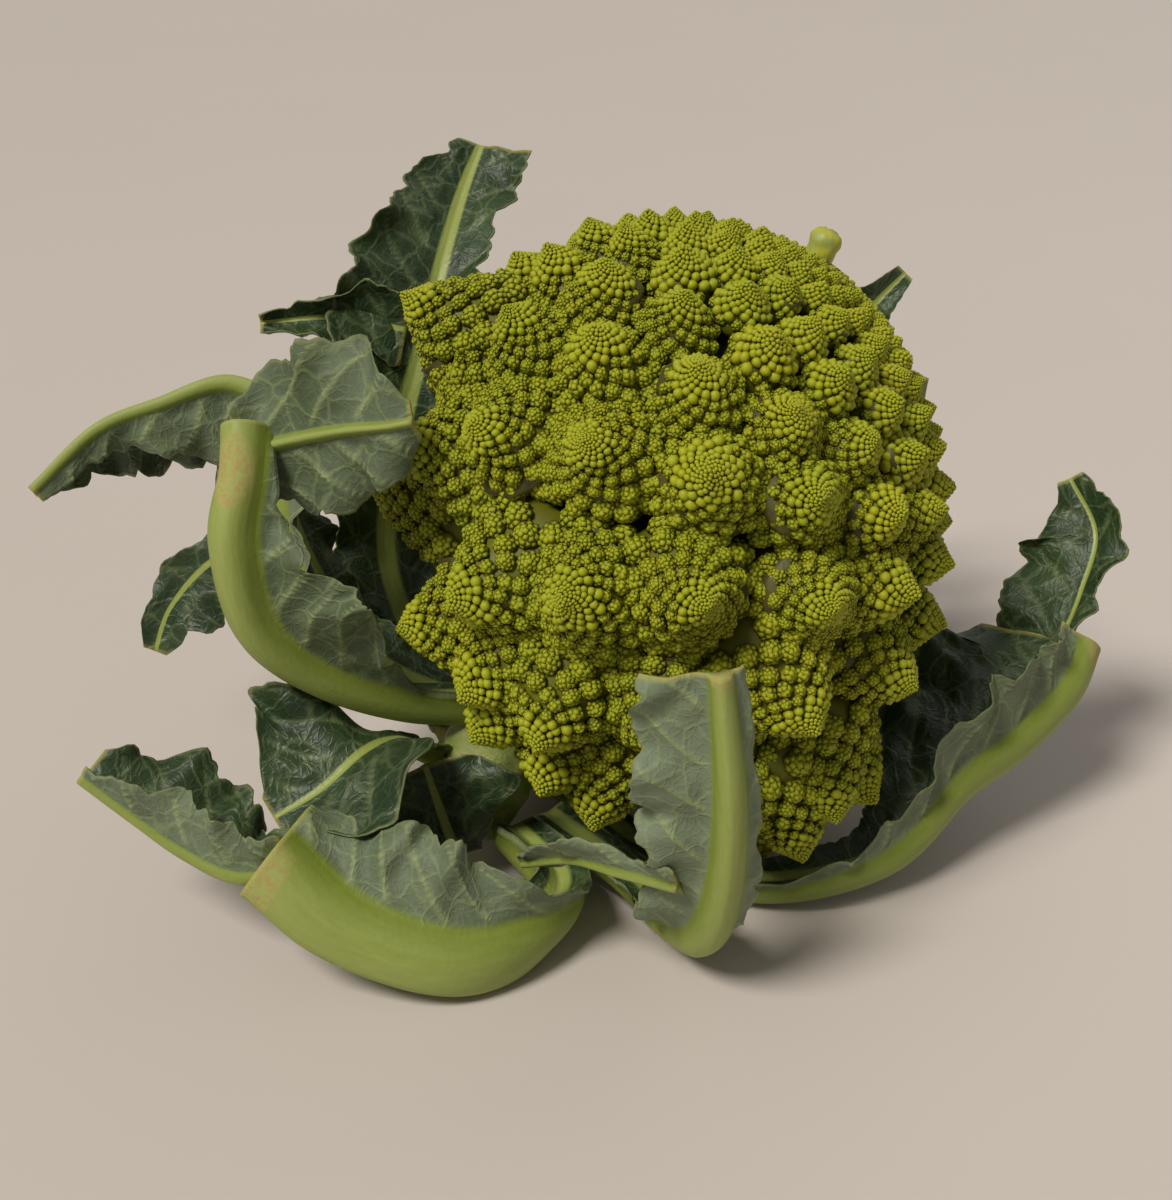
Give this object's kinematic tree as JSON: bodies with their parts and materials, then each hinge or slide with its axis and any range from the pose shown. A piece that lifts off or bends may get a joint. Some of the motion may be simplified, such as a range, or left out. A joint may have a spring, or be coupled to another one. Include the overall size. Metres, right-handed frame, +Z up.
{
  "type": "romanesco head",
  "caption": "Fresh romanesco head with pointed spiral florets on a cut stalk, ringed by curled, trimmed leaves with thick pale ribs.",
  "frame": {"origin": "middle of the head's footprint, on the surface it rests on", "axes": "+Z up; +X along the longest extent, from the left leaves to the right leaf; +Y away from the front leaf"},
  "size_m": [0.2932, 0.2258, 0.1648],
  "materials": {
    "curd": "yellow-green plant tissue, finely beaded, satin",
    "stalk": "pale green stem, corky buff cut face",
    "leaf": "dark green waxy upper face, grey-green veined underside, pale lime rib"
  },
  "bodies": {
    "root": {"curd": "curd", "stalk": "stalk", "front_leaf": "leaf", "front_left_leaf": "leaf", "left_leaf": "leaf", "left_back_leaf": "leaf", "back_leaf": "leaf", "right_leaf": "leaf", "small_leaf": "leaf", "dark_leaf": "leaf", "back_right_leaf": "leaf", "right_back_leaf": "leaf"}
  },
  "joints": []
}
